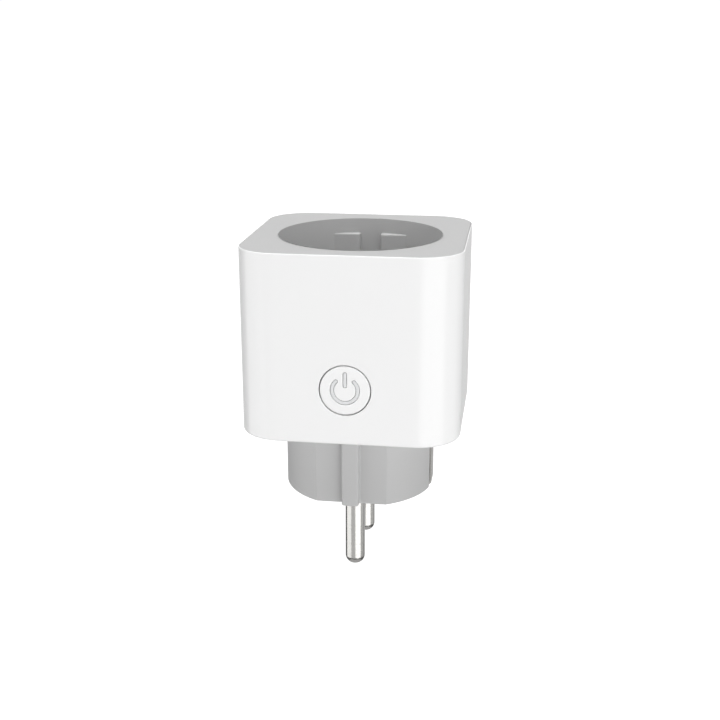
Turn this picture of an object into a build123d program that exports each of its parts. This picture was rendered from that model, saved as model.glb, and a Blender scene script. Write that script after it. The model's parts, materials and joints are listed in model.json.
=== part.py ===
from build123d import *

import os

# A square smart plug for round-recess earthed outlets: a white sleeve, a grey socket cover with a
# 39 mm recess, a grey plug base with two round pins, and the switching electronics between them.
# Millimetres. The origin is the centre of the plug face between the pins, +Z runs up to the socket,
# and the power button is on the -Y face. The pins stand in a line along Y.

# Driving dimensions
body_width = 51.5  # across the flats, both ways
corner_radius = 10.0  # of the four upright edges
shoulder_z = 18.7  # underside of the white body
rim_z = 62.8  # top face of the socket
wall = 1.8  # moulded walls
floor_thickness = 2.0  # of the sleeve and of the recess

recess_radius = 19.5
recess_depth = 17.5
guide_y = 17.2  # faces of the guide blocks
guide_top_z = 59.2
guide_slot_width = 5.2

plug_radius = 18.45
plug_flat_y = 16.45
rib_width = 4.1
pin_spacing = 19.0
pin_radius = 2.4
pin_length = 19.0
earth_hole_x = 10.0

button_z = 31.75
button_radius = 5.75
button_gap = 0.27
symbol_radius = 2.95
symbol_stroke = 0.74
symbol_opening = 45  # degrees each side of the top
symbol_gap = 0.11
symbol_bar = (0.72, 4.24)  # its ends, above the button's centre

shutter_turn = 35  # degrees from shut to open

# Worked out from them
recess_floor_z = rim_z - recess_depth
cup_bottom_z = recess_floor_z - floor_thickness
cup_radius = recess_radius + 1.6
pin_places = ((0, -pin_spacing / 2), (0, pin_spacing / 2))
sleeve_floor_z = shoulder_z + floor_thickness
cavity_width = body_width - 2 * wall
cavity_radius = corner_radius - wall
lip = 0.3  # white edge that frames the grey cover
cover_gap = 0.05
ledge_z = rim_z - 2.0
spring_window_top_z = recess_floor_z + 13.3
flange_top_z = sleeve_floor_z + wall
board_thickness = 1.6
board_top_z = flange_top_z + board_thickness
screw_x = 17.6
screw_places = [(x, y) for x in (-screw_x, screw_x) for y in (-screw_x, screw_x)]
screw_radius = 1.5
screw_head_radius = 2.5
screw_head_height = 1.7
screw_top_z = 34.0
boss_radius = 3.6
boss_top_z = sleeve_floor_z + 2.5
post_radius = 2.8
shutter_radius = 13.5
shutter_top_z = cup_bottom_z - 0.2
shutter_bottom_z = shutter_top_z - 1.5
carrier_top_z = shutter_bottom_z - 0.2
carrier_half_x = 6.0
carrier_half_y = 15.3
strip_half_width = 2.5
earth_bar_z = board_top_z + 0.9
front_plane = Plane.XZ.offset(body_width / 2)  # its normal is -Y, its upright is Z
control_board_y = -18.5  # front face of the upright board
control_board_thickness = 1.2

os.makedirs("parts", exist_ok=True)


# White sleeve: one moulded box, open at the top, with a round opening for the plug base
with BuildPart() as housing_sleeve:
    with BuildSketch(Plane.XY.offset(shoulder_z)):
        RectangleRounded(body_width, body_width, corner_radius)
    extrude(amount=rim_z - shoulder_z)
    fillet(housing_sleeve.faces().sort_by(Axis.Z)[0].edges(), 0.5)
    fillet(housing_sleeve.faces().sort_by(Axis.Z)[-1].edges(), 0.2)
    with BuildSketch(Plane.XY.offset(sleeve_floor_z)):
        RectangleRounded(cavity_width, cavity_width, cavity_radius)
    extrude(amount=rim_z - sleeve_floor_z, mode=Mode.SUBTRACT)
    with BuildSketch(Plane.XY.offset(ledge_z)):
        RectangleRounded(body_width - 2 * lip, body_width - 2 * lip, corner_radius - lip)
    extrude(amount=rim_z - ledge_z, mode=Mode.SUBTRACT)
    # bosses that take the case screws
    with BuildSketch(Plane.XY.offset(sleeve_floor_z)):
        with Locations(*screw_places):
            Circle(boss_radius)
    extrude(amount=boss_top_z - sleeve_floor_z)
    with BuildSketch(Plane.XY.offset(shoulder_z)):
        Circle(plug_radius + 0.1)
    extrude(amount=floor_thickness, mode=Mode.SUBTRACT)
    with BuildSketch(Plane.XY.offset(shoulder_z)):
        with Locations(*screw_places):
            Circle(screw_head_radius + 0.2)
    extrude(amount=screw_head_height + 0.6, mode=Mode.SUBTRACT)
    with BuildSketch(Plane.XY.offset(shoulder_z)):
        with Locations(*screw_places):
            Circle(screw_radius)
    extrude(amount=boss_top_z - shoulder_z, mode=Mode.SUBTRACT)
    # round window of the power button
    with BuildSketch(front_plane):
        with Locations((0, button_z)):
            Circle(button_radius + button_gap)
    extrude(amount=-2 * wall, mode=Mode.SUBTRACT)
housing_sleeve.part.label = "housing_sleeve"
export_step(housing_sleeve.part, "parts/housing_sleeve.step")


# Grey socket cover: the top plate and the round cup that a plug goes into
cover_width = body_width - 2 * lip - 2 * cover_gap
hole_radius = 2.75
with BuildPart() as socket_cover:
    with BuildSketch(Plane.XY.offset(ledge_z)):
        RectangleRounded(cover_width, cover_width, corner_radius - lip - cover_gap)
    extrude(amount=rim_z - ledge_z)
    with BuildSketch(Plane.XY.offset(cup_bottom_z)):
        Circle(cup_radius)
    extrude(amount=rim_z - cup_bottom_z)
    with BuildSketch(Plane.XY.offset(recess_floor_z)):
        Circle(recess_radius)
    extrude(amount=recess_depth, mode=Mode.SUBTRACT)
    rim_edge = socket_cover.edges().filter_by(GeomType.CIRCLE).group_by(Axis.Z)[-1]
    fillet(rim_edge.filter_by(lambda edge: abs(edge.radius - recess_radius) < 0.01), 0.2)
    # guide blocks at the two pin-side walls, each split by a slot for the plug's rib
    with BuildSketch(Plane.XY.offset(recess_floor_z)):
        Circle(recess_radius + 0.4)
        Rectangle(2 * cup_radius, 2 * guide_y, mode=Mode.SUBTRACT)
        Rectangle(guide_slot_width, 2 * cup_radius, mode=Mode.SUBTRACT)
    extrude(amount=guide_top_z - recess_floor_z)
    block_tops = socket_cover.edges().filter_by_position(Axis.Z, guide_top_z - 0.01, guide_top_z + 0.01)
    block_sides = socket_cover.edges().filter_by(Axis.Z).filter_by(
        lambda edge: abs(abs(edge.center().Y) - guide_y) < 0.01 and abs(edge.center().X) < 3
    )
    fillet(block_tops.filter_by(GeomType.LINE) + block_sides, 0.4)
    # holes for the pins of the plug that goes in
    with BuildSketch(Plane.XY.offset(cup_bottom_z)):
        with Locations(*pin_places):
            Circle(hole_radius)
    extrude(amount=floor_thickness, mode=Mode.SUBTRACT)
    # windows through which the side earth springs reach into the recess
    with BuildSketch(Plane.XY.offset(recess_floor_z)):
        with Locations((-recess_radius - 0.5, 0), (recess_radius + 0.5, 0)):
            Rectangle(4, 2 * strip_half_width + 1)
    extrude(amount=spring_window_top_z - recess_floor_z, mode=Mode.SUBTRACT)
    # stub that the shutter turns on
    with BuildSketch(Plane.XY.offset(carrier_top_z + 0.1)):
        Circle(2.5)
    extrude(amount=cup_bottom_z - carrier_top_z - 0.1)
    # posts down to the sleeve's bosses, tied to the cup by webs
    with BuildSketch(Plane.XY.offset(boss_top_z)):
        with Locations(*screw_places):
            Circle(post_radius)
    extrude(amount=ledge_z - boss_top_z)
    with BuildSketch(Plane.XY.offset(cup_bottom_z + 6)):
        with PolarLocations(cup_radius + 0.6, 4, 45):
            Rectangle(2.4, 1.2)
    extrude(amount=ledge_z - cup_bottom_z - 6)
    with BuildSketch(Plane.XY.offset(boss_top_z)):
        with Locations(*screw_places):
            Circle(screw_radius)
    extrude(amount=screw_top_z - boss_top_z, mode=Mode.SUBTRACT)
socket_cover.part.label = "socket_cover"
export_step(socket_cover.part, "parts/socket_cover.step")


# The two plug pins: solid and round-tipped below the plug face, with a thinner shank and a collar
# moulded into the base and a solder tail
collar_bottom_z, collar_top_z = 9.0, 11.0
collar_radius = 3.2
shank_radius = 2.0
shank_top_z = flange_top_z - 1
tail_radius = 1.2
tail_top_z = board_top_z + 0.5
for pin_name, pin_place in zip(("plug_pin_live", "plug_pin_neutral"), pin_places):
    with BuildPart() as plug_pin:
        with BuildSketch(Plane.XY.offset(-pin_length)):
            with Locations(pin_place):
                Circle(pin_radius)
        extrude(amount=pin_length)
        fillet(plug_pin.faces().sort_by(Axis.Z)[0].edges(), pin_radius - 0.3)
        for radius, bottom_z, top_z in (
            (shank_radius, 0, shank_top_z),
            (collar_radius, collar_bottom_z, collar_top_z),
            (tail_radius, shank_top_z, tail_top_z),
        ):
            with BuildSketch(Plane.XY.offset(bottom_z)):
                with Locations(pin_place):
                    Circle(radius)
            extrude(amount=top_z - bottom_z)
    plug_pin.part.label = pin_name
    export_step(plug_pin.part, f"parts/{pin_name}.step")


# Side earth contacts of the plug: strips along the two sides that turn in under the plug face
strip_thickness = 1.0
strip_outer_x = 18.25
foot_length = 4.0
for side, side_name in ((-1, "left"), (1, "right")):
    with BuildPart() as plug_earth:
        with BuildSketch(Plane.XZ.offset(strip_half_width)):
            with BuildLine():
                FilletPolyline(
                    (side * (strip_outer_x - foot_length), 0),
                    (side * strip_outer_x, 0),
                    (side * strip_outer_x, earth_bar_z),
                    (side * (strip_outer_x - strip_thickness), earth_bar_z),
                    (side * (strip_outer_x - strip_thickness), strip_thickness),
                    (side * (strip_outer_x - foot_length), strip_thickness),
                    radius=(0, 0.9, 0, 0, 0, 0),
                    close=True,
                )
            make_face()
        extrude(amount=-2 * strip_half_width)
    plug_earth.part.label = f"plug_earth_{side_name}"
    export_step(plug_earth.part, f"parts/plug_earth_{side_name}.step")


# Sprung tube that takes the earth pin of an outlet of the other earthing kind
receptacle_radius = 2.45
receptacle_wall = 0.6
receptacle_bottom_z, receptacle_top_z = 2.5, 17.0
with BuildPart() as earth_receptacle:
    with BuildSketch(Plane.XY.offset(receptacle_bottom_z)):
        with Locations((earth_hole_x, 0)):
            Circle(receptacle_radius + receptacle_wall)
            Circle(receptacle_radius, mode=Mode.SUBTRACT)
        with Locations((earth_hole_x - receptacle_radius, 0)):
            Rectangle(2, 0.8, mode=Mode.SUBTRACT)
    extrude(amount=receptacle_top_z - receptacle_bottom_z)
earth_receptacle.part.label = "earth_receptacle"
export_step(earth_receptacle.part, "parts/earth_receptacle.step")


# Grey plug base: a flatted round boss with a rib front and back, hollow from above, on a flange
flange_width = cavity_width - 0.6
base_wall = 2.2
base_floor_z = 3.0
tower_radius = 4.3
groove_x = strip_outer_x - 0.75  # floor of each side groove
groove_width = 9.0
groove_top_z = 15.5
with BuildPart() as plug_base:
    with BuildSketch():
        Circle(plug_radius)
        Rectangle(2 * plug_radius, 2 * plug_flat_y, mode=Mode.INTERSECT)
        with BuildSketch(mode=Mode.ADD):
            Circle(plug_radius)
            Rectangle(rib_width, 2 * plug_radius, mode=Mode.INTERSECT)
    extrude(amount=sleeve_floor_z)
    rib_edges = plug_base.edges().filter_by(Axis.Z).filter_by(
        lambda edge: abs(abs(edge.center().X) - rib_width / 2) < 0.01
    )
    fillet(rib_edges.filter_by(lambda edge: abs(edge.center().Y) > plug_flat_y + 1), 0.5)
    fillet(plug_base.faces().sort_by(Axis.Z)[0].edges(), 0.5)
    with BuildSketch(Plane.XY.offset(sleeve_floor_z)):
        RectangleRounded(flange_width, flange_width, cavity_radius - 0.3)
        with Locations(*screw_places):
            Circle(boss_radius + 0.2, mode=Mode.SUBTRACT)
    extrude(amount=wall)
    # hollow, with towers left round the pins and the earth tube
    with BuildSketch(Plane.XY.offset(base_floor_z)):
        Circle(plug_radius - base_wall)
        Rectangle(2 * (strip_outer_x - 2.4), 2 * (plug_flat_y - base_wall), mode=Mode.INTERSECT)
        with Locations(*pin_places, (earth_hole_x, 0)):
            Circle(tower_radius, mode=Mode.SUBTRACT)
    extrude(amount=flange_top_z - base_floor_z, mode=Mode.SUBTRACT)
    with BuildSketch():
        with Locations(*pin_places):
            Circle(shank_radius)
    extrude(amount=flange_top_z, mode=Mode.SUBTRACT)
    with BuildSketch(Plane.XY.offset(collar_bottom_z)):
        with Locations(*pin_places):
            Circle(collar_radius)
    extrude(amount=collar_top_z - collar_bottom_z, mode=Mode.SUBTRACT)
    # socket for the earth tube
    with BuildSketch():
        with Locations((earth_hole_x, 0)):
            Circle(receptacle_radius + receptacle_wall)
    extrude(amount=receptacle_top_z, mode=Mode.SUBTRACT)
    # side grooves, and the channels that hold the earth strips
    for side in (-1, 1):
        with BuildSketch():
            with Locations((side * (groove_x + 1), 0)):
                Rectangle(2, groove_width)
        extrude(amount=groove_top_z, mode=Mode.SUBTRACT)
        with BuildSketch():
            with Locations((side * (strip_outer_x - strip_thickness / 2), 0)):
                Rectangle(strip_thickness, 2 * strip_half_width)
        extrude(amount=flange_top_z, mode=Mode.SUBTRACT)
        with BuildSketch():
            with Locations((side * (strip_outer_x - foot_length / 2), 0)):
                Rectangle(foot_length, 2 * strip_half_width)
        extrude(amount=strip_thickness, mode=Mode.SUBTRACT)
plug_base.part.label = "plug_base"
export_step(plug_base.part, "parts/plug_base.step")


# Earth frame: a stamped bar across the inside with an upright at each end, outside the cup
upright_x = cup_radius + 0.5  # inner face of each upright
upright_thickness = 0.8
upright_top_z = 49.0
rivet_z = recess_floor_z + 2.0
rivet_radius = 0.8
with BuildPart() as earth_frame:
    with BuildSketch(Plane.XZ.offset(strip_half_width)):
        with BuildLine():
            outer = upright_x + upright_thickness
            FilletPolyline(
                (-outer, upright_top_z),
                (-outer, earth_bar_z),
                (outer, earth_bar_z),
                (outer, upright_top_z),
                (upright_x, upright_top_z),
                (upright_x, earth_bar_z + upright_thickness),
                (-upright_x, earth_bar_z + upright_thickness),
                (-upright_x, upright_top_z),
                radius=(0, 1.2, 1.2, 0, 0, 0.4, 0.4, 0),
                close=True,
            )
        make_face()
    extrude(amount=-2 * strip_half_width)
    with BuildSketch(Plane.YZ.offset(-outer)):
        with Locations((0, rivet_z)):
            Circle(rivet_radius)
    extrude(amount=2 * outer, mode=Mode.SUBTRACT)
earth_frame.part.label = "earth_frame"
export_step(earth_frame.part, "parts/earth_frame.step")


# Side earth springs: bowed leaves that bear on the side contacts of the plug that goes in
leaf_thickness = 0.5
for side, side_name in ((-1, "left"), (1, "right")):
    with BuildPart() as earth_spring:
        with BuildSketch(Plane.XZ.offset(strip_half_width - 0.2)):
            with BuildLine() as leaf_line:
                FilletPolyline(
                    (side * (upright_x - leaf_thickness / 2), recess_floor_z + 0.5),
                    (side * (upright_x - leaf_thickness / 2), recess_floor_z + 3.8),
                    (side * 17.6, recess_floor_z + 8.2),
                    (side * 20.4, recess_floor_z + 12.7),
                    radius=(1.5, 1.2),
                )
            trace(leaf_line.line, leaf_thickness)
        extrude(amount=-2 * (strip_half_width - 0.2))
        with BuildSketch(Plane.YZ):
            with Locations((0, rivet_z)):
                Circle(rivet_radius)
        extrude(amount=side * (upright_x + 1), mode=Mode.SUBTRACT)
    earth_spring.part.label = f"earth_spring_{side_name}"
    export_step(earth_spring.part, f"parts/earth_spring_{side_name}.step")


# Rivets that hold the springs to the frame
with BuildPart() as earth_rivets:
    for side in (-1, 1):
        with BuildSketch(Plane.YZ.offset(side * (upright_x - leaf_thickness - 0.5))):
            with Locations((0, rivet_z)):
                Circle(rivet_radius)
        extrude(amount=side * (leaf_thickness + upright_thickness + 1))
        for head_x in (upright_x - leaf_thickness - 0.5, upright_x + upright_thickness):
            with BuildSketch(Plane.YZ.offset(side * head_x)):
                with Locations((0, rivet_z)):
                    Circle(rivet_radius + 0.6)
            extrude(amount=side * 0.5)
earth_rivets.part.label = "earth_rivets"
export_step(earth_rivets.part, "parts/earth_rivets.step")


# Contact carrier: the insulating block that holds the two socket contacts under the recess
contact_pocket = 7.2
with BuildPart() as contact_carrier:
    with BuildSketch(Plane.XY.offset(board_top_z)):
        Rectangle(2 * carrier_half_x, 2 * carrier_half_y)
    extrude(amount=carrier_top_z - board_top_z)
    fillet(contact_carrier.edges().filter_by(Axis.Z), 0.8)
    with BuildSketch(Plane.XY.offset(carrier_top_z)):
        with Locations((0, -carrier_half_y + 0.7), (0, carrier_half_y - 0.7)):
            Rectangle(2 * carrier_half_x - 3, 1.4)
    extrude(amount=cup_bottom_z - carrier_top_z)
    with BuildSketch(Plane.XY.offset(board_top_z)):
        with Locations(*pin_places):
            Rectangle(contact_pocket, contact_pocket)
    extrude(amount=carrier_top_z - board_top_z, mode=Mode.SUBTRACT)
    # arch over the earth bar, and the pocket of the shutter's spring
    with BuildSketch(Plane.XY.offset(board_top_z)):
        Rectangle(2 * carrier_half_x, 2 * strip_half_width + 0.4)
    extrude(amount=earth_bar_z + upright_thickness + 0.2 - board_top_z, mode=Mode.SUBTRACT)
    with BuildSketch(Plane.XY.offset(carrier_top_z - 4.5)):
        RectangleRounded(2 * carrier_half_x - 2.4, 9.4, 1)
    extrude(amount=4.5, mode=Mode.SUBTRACT)
contact_carrier.part.label = "contact_carrier"
export_step(contact_carrier.part, "parts/contact_carrier.step")


# Live and neutral socket contacts: two leaves joined down their outer edge, with a solder tail
leaf_gap = 2.45  # half the distance between the leaves
contact_leaf = 0.55
contact_top_z = carrier_top_z - 0.8
for contact_name, facing in (("live_contact", -1), ("neutral_contact", 1)):
    contact_y = facing * pin_spacing / 2
    back_y = contact_y + facing * 3.0
    with BuildPart() as socket_contact:
        with BuildSketch(Plane.XY.offset(board_top_z + 0.6)):
            with Locations((0, contact_y + facing * 0.1)):
                Rectangle(2 * (leaf_gap + contact_leaf), 5.8)
            with Locations((0, contact_y - facing * 0.3)):
                Rectangle(2 * leaf_gap, 5.8, mode=Mode.SUBTRACT)
        extrude(amount=contact_top_z - board_top_z - 0.6)
        # the leaves open outwards at the mouth
        mouth_edges = socket_contact.edges().filter_by(Axis.Y).group_by(Axis.Z)[-1]
        chamfer(mouth_edges.sort_by(lambda edge: abs(edge.center().X))[0:2], 0.3)
        with BuildSketch(Plane.XY.offset(flange_top_z + 0.2)):
            with Locations((0, contact_y + facing * 2.8)):
                Rectangle(1.6, 0.4)
        extrude(amount=board_thickness + 0.8)
    socket_contact.part.label = contact_name
    export_step(socket_contact.part, f"parts/{contact_name}.step")


# Safety shutter: a disc under the recess floor that covers both holes until both pins push its ramps
ramp_tilt = 9
shutter_hole_angle = 90 - shutter_turn
peg_radius = 0.8
peg_x = 3.6
with BuildPart() as shutter:
    with BuildSketch(Plane.XY.offset(shutter_bottom_z)):
        Circle(shutter_radius)
        Circle(2.56, mode=Mode.SUBTRACT)
        with PolarLocations(pin_spacing / 2, 2, shutter_hole_angle):
            Circle(hole_radius + 0.2, mode=Mode.SUBTRACT)
    extrude(amount=shutter_top_z - shutter_bottom_z)
    # each ramp slopes down from under the pin to the edge of the hole beside it
    for ramp_angle in (shutter_hole_angle, shutter_hole_angle + 180):
        ramp_plane = Plane.XY.offset(shutter_top_z).rotated((0, 0, ramp_angle))
        ramp_place = ramp_plane.location * Location((pin_spacing / 2, 6.2, 0), (-ramp_tilt, 0, 0))
        with BuildSketch(Plane(ramp_place)):
            Rectangle(5, 7.5)
        extrude(amount=2, mode=Mode.SUBTRACT)
    with BuildSketch(Plane.XY.offset(shutter_bottom_z - 2.6)):
        with Locations((peg_x, 0)):
            Circle(peg_radius)
    extrude(amount=2.7)
shutter.part.label = "shutter"
export_step(shutter.part, "parts/shutter.step")


# Hairpin spring that turns the shutter back
with BuildPart() as shutter_spring:
    with BuildSketch(Plane.XY.offset(carrier_top_z - 3.9)):
        with BuildLine() as hairpin:
            FilletPolyline(
                (4.4, 1.15),
                (1.2, 1.15),
                (-3.9, 2.2),
                (-3.9, 4.1),
                (3.9, 4.1),
                radius=(2.0, 0.9, 0.9),
            )
        trace(hairpin.line, 0.3)
    extrude(amount=2.6)
shutter_spring.part.label = "shutter_spring"
export_step(shutter_spring.part, "parts/shutter_spring.step")


# Power board, lying on the flange of the plug base
board_width = cavity_width - 1.6
with BuildPart() as power_board:
    with BuildSketch(Plane.XY.offset(flange_top_z)):
        RectangleRounded(board_width, board_width, cavity_radius - 0.8)
        with Locations(*screw_places):
            Circle(boss_radius + 0.4, mode=Mode.SUBTRACT)
        with Locations(*pin_places):
            Circle(tail_radius + 0.1, mode=Mode.SUBTRACT)
        with Locations((0, -pin_spacing / 2 - 2.8), (0, pin_spacing / 2 + 2.8)):
            Rectangle(1.8, 0.6, mode=Mode.SUBTRACT)
        with Locations(*((side * (strip_outer_x - strip_thickness / 2), 0) for side in (-1, 1))):
            Rectangle(strip_thickness + 0.4, 2 * strip_half_width + 0.4, mode=Mode.SUBTRACT)
    extrude(amount=board_thickness)
power_board.part.label = "power_board"
export_step(power_board.part, "parts/power_board.step")


# Relay that switches the load, a sealed part in a plastic case
relay_place = (-14.8, 8.4)
relay_size = (16.6, 10.2, 15.0)
with BuildPart() as relay:
    with BuildSketch(Plane.XY.offset(board_top_z)):
        with Locations(relay_place):
            Rectangle(relay_size[0], relay_size[1])
    extrude(amount=relay_size[2])
    fillet(relay.edges().filter_by(Axis.Z), 0.5)
    fillet(relay.faces().sort_by(Axis.Z)[-1].edges(), 0.4)
relay.part.label = "relay"
export_step(relay.part, "parts/relay.step")


# Mains film capacitor
film_capacitor_place = (14.0, 5.9)
film_capacitor_size = (13.0, 5.0, 11.0)
with BuildPart() as film_capacitor:
    with BuildSketch(Plane.XY.offset(board_top_z)):
        with Locations(film_capacitor_place):
            Rectangle(film_capacitor_size[0], film_capacitor_size[1])
    extrude(amount=film_capacitor_size[2])
    fillet(film_capacitor.edges().filter_by(Axis.Z), 0.5)
film_capacitor.part.label = "film_capacitor"
export_step(film_capacitor.part, "parts/film_capacitor.step")


# Two electrolytic capacitors
electrolytic_places = ((-11.0, -8.0), (-19.1, -8.0))
electrolytic_radius = 3.9
electrolytic_height = 12.0
with BuildPart() as electrolytic_capacitors:
    with BuildSketch(Plane.XY.offset(board_top_z)):
        with Locations(*electrolytic_places):
            Circle(electrolytic_radius)
    extrude(amount=electrolytic_height)
    fillet(electrolytic_capacitors.faces().group_by(Axis.Z)[-1].edges(), 0.5)
electrolytic_capacitors.part.label = "electrolytic_capacitors"
export_step(electrolytic_capacitors.part, "parts/electrolytic_capacitors.step")


# Supply transformer: a taped winding inside a ferrite core
core_place = (14.5, -8.9)
winding_size = (8.0, 10.0)
winding_height = 9.0
core_size = (13.0, 5.0, 11.5)
with BuildPart() as transformer_winding:
    with BuildSketch(Plane.XY.offset(board_top_z)):
        with Locations(core_place):
            RectangleRounded(*winding_size, 1.5)
    extrude(amount=winding_height)
transformer_winding.part.label = "transformer_winding"
export_step(transformer_winding.part, "parts/transformer_winding.step")

with BuildPart() as transformer_core:
    with BuildSketch(Plane.XY.offset(board_top_z)):
        with Locations(core_place):
            Rectangle(core_size[0], core_size[1])
    extrude(amount=core_size[2])
    with BuildSketch(Plane.XY.offset(board_top_z)):
        with Locations(core_place):
            RectangleRounded(*winding_size, 1.5)
    extrude(amount=winding_height, mode=Mode.SUBTRACT)
transformer_core.part.label = "transformer_core"
export_step(transformer_core.part, "parts/transformer_core.step")


# Varistor across the mains, a coated disc on edge
varistor_x, varistor_y = 12.2, 11.0
varistor_radius = 4.5
varistor_thickness = 3.4
with BuildPart() as varistor:
    with BuildSketch(Plane.XZ.offset(-varistor_y)):
        with Locations((varistor_x, board_top_z + varistor_radius + 0.1)):
            Circle(varistor_radius)
    extrude(amount=-varistor_thickness)
    fillet(varistor.edges(), 0.8)
varistor.part.label = "varistor"
export_step(varistor.part, "parts/varistor.step")


# Fuse resistor, lying along X behind the carrier
fuse_length = 10.0
fuse_radius = 1.9
fuse_y = 20.0
with BuildPart() as fuse_resistor:
    with BuildSketch(Plane.YZ.offset(-fuse_length / 2)):
        with Locations((fuse_y, board_top_z + fuse_radius + 0.1)):
            Circle(fuse_radius)
    extrude(amount=fuse_length)
    fillet(fuse_resistor.edges(), 0.6)
fuse_resistor.part.label = "fuse_resistor"
export_step(fuse_resistor.part, "parts/fuse_resistor.step")


# Drum choke: two flanges and a wound waist
choke_place = (-10.5, 18.6)
choke_radius, choke_waist = 3.6, 2.9
choke_flange, choke_height = 1.2, 8.0
with BuildPart() as choke:
    for radius, bottom_z, top_z in (
        (choke_radius, 0, choke_flange),
        (choke_waist, choke_flange, choke_height - choke_flange),
        (choke_radius, choke_height - choke_flange, choke_height),
    ):
        with BuildSketch(Plane.XY.offset(board_top_z + bottom_z)):
            with Locations(choke_place):
                Circle(radius)
        extrude(amount=top_z - bottom_z)
choke.part.label = "choke"
export_step(choke.part, "parts/choke.step")


# Bridge rectifier and energy-metering chip, on the power board
rectifier_place = (9.6, 20.0)
rectifier_size = (6.0, 4.6, 2.4)
with BuildPart() as bridge_rectifier:
    with BuildSketch(Plane.XY.offset(board_top_z)):
        with Locations(rectifier_place):
            Rectangle(rectifier_size[0], rectifier_size[1])
    extrude(amount=rectifier_size[2])
    chamfer(bridge_rectifier.faces().sort_by(Axis.Z)[-1].edges(), 0.3)
bridge_rectifier.part.label = "bridge_rectifier"
export_step(bridge_rectifier.part, "parts/bridge_rectifier.step")

chip_y = -16.4
chip_size = (5.0, 1.6, 1.4)
with BuildPart() as metering_chip:
    with BuildSketch(Plane.XY.offset(board_top_z)):
        with Locations((0, chip_y)):
            Rectangle(chip_size[0], chip_size[1])
    extrude(amount=chip_size[2])
metering_chip.part.label = "metering_chip"
export_step(metering_chip.part, "parts/metering_chip.step")


# Upright control board behind the button, with its connector to the power board
with BuildPart() as control_board:
    with BuildSketch(Plane.XZ.offset(-control_board_y)):
        with Locations((0, board_top_z + 8.6)):
            RectangleRounded(28.0, 16.0, 0.8)
    extrude(amount=-control_board_thickness)
control_board.part.label = "control_board"
export_step(control_board.part, "parts/control_board.step")

with BuildPart() as board_header:
    with BuildSketch(Plane.XY.offset(board_top_z)):
        with Locations((4.5, control_board_y - 1.3)):
            Rectangle(12.7, 2.4)
    extrude(amount=2.5)
board_header.part.label = "board_header"
export_step(board_header.part, "parts/board_header.step")


# Wireless module: a small board with a pressed metal shield on it
module_x = -8.6
with BuildPart() as wireless_module:
    with BuildSketch(Plane.XZ.offset(-control_board_y)):
        with Locations((module_x, board_top_z + 9.4)):
            Rectangle(9.6, 14.0)
    extrude(amount=0.8)
wireless_module.part.label = "wireless_module"
export_step(wireless_module.part, "parts/wireless_module.step")

with BuildPart() as module_shield:
    with BuildSketch(Plane.XZ.offset(0.8 - control_board_y)):
        with Locations((module_x, board_top_z + 7.6)):
            RectangleRounded(8.6, 9.6, 0.4)
    extrude(amount=1.6)
    fillet(module_shield.faces().sort_by(Axis.Y)[0].edges(), 0.3)
    with BuildSketch(Plane.XZ.offset(0.8 - control_board_y)):
        with Locations((module_x, board_top_z + 7.6)):
            Rectangle(8.0, 9.0)
    extrude(amount=1.3, mode=Mode.SUBTRACT)
module_shield.part.label = "module_shield"
export_step(module_shield.part, "parts/module_shield.step")


# Push switch on the control board: a case and the plunger that the button presses
switch_case_height = 3.4
plunger_radius = 1.6
plunger_front_y = -22.75
with BuildPart() as switch_case:
    with BuildSketch(Plane.XZ.offset(-control_board_y)):
        with Locations((0, button_z)):
            RectangleRounded(6.0, 6.0, 0.3)
    extrude(amount=switch_case_height)
    with BuildSketch(Plane.XZ.offset(-control_board_y + switch_case_height)):
        with Locations((0, button_z)):
            Circle(plunger_radius + 0.05)
    extrude(amount=-2.0, mode=Mode.SUBTRACT)
switch_case.part.label = "switch_case"
export_step(switch_case.part, "parts/switch_case.step")

with BuildPart() as switch_plunger:
    with BuildSketch(Plane.XZ.offset(-plunger_front_y)):
        with Locations((0, button_z)):
            Circle(plunger_radius)
    extrude(amount=-2.2)
switch_plunger.part.label = "switch_plunger"
export_step(switch_plunger.part, "parts/switch_plunger.step")


# Status lamp beside the switch, shining through the power symbol
with BuildPart() as status_lamp:
    with BuildSketch(Plane.XZ.offset(-control_board_y)):
        with Locations((0, button_z + 4.6)):
            Rectangle(1.6, 0.8)
    extrude(amount=0.7)
status_lamp.part.label = "status_lamp"
export_step(status_lamp.part, "parts/status_lamp.step")


# Power button: a round cap in the window, a flange behind the wall and a nub on the plunger
cap_front_y = body_width / 2 - 0.05
inner_wall_y = body_width / 2 - wall
symbol_depth = 1.0
with BuildSketch(Plane.XZ.offset(cap_front_y)) as power_symbol:
    with BuildLine() as symbol_arc:
        CenterArc((0, button_z), symbol_radius, 90 + symbol_opening, 360 - 2 * symbol_opening)
    trace(symbol_arc.line, symbol_stroke)
    with Locations((0, button_z + (symbol_bar[0] + symbol_bar[1]) / 2)):
        SlotOverall(symbol_bar[1] - symbol_bar[0], symbol_stroke, rotation=90)
with BuildPart() as button_cap:
    with BuildSketch(Plane.XZ.offset(inner_wall_y - 0.15)):
        with Locations((0, button_z)):
            Circle(button_radius)
    extrude(amount=cap_front_y - inner_wall_y + 0.15)
    fillet(button_cap.faces().sort_by(Axis.Y)[0].edges(), 0.25)
    with BuildSketch(Plane.XZ.offset(inner_wall_y - 0.15)):
        with Locations((0, button_z)):
            Circle(button_radius + 1)
    extrude(amount=-0.7)
    with BuildSketch(Plane.XZ.offset(-plunger_front_y + 0.05)):
        with Locations((0, button_z)):
            Circle(1.3)
    extrude(amount=1.0)
    with BuildSketch(Plane.XZ.offset(cap_front_y)):
        offset(power_symbol.sketch, symbol_gap)
    extrude(amount=-symbol_depth, mode=Mode.SUBTRACT)
button_cap.part.label = "button_cap"
export_step(button_cap.part, "parts/button_cap.step")

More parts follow.
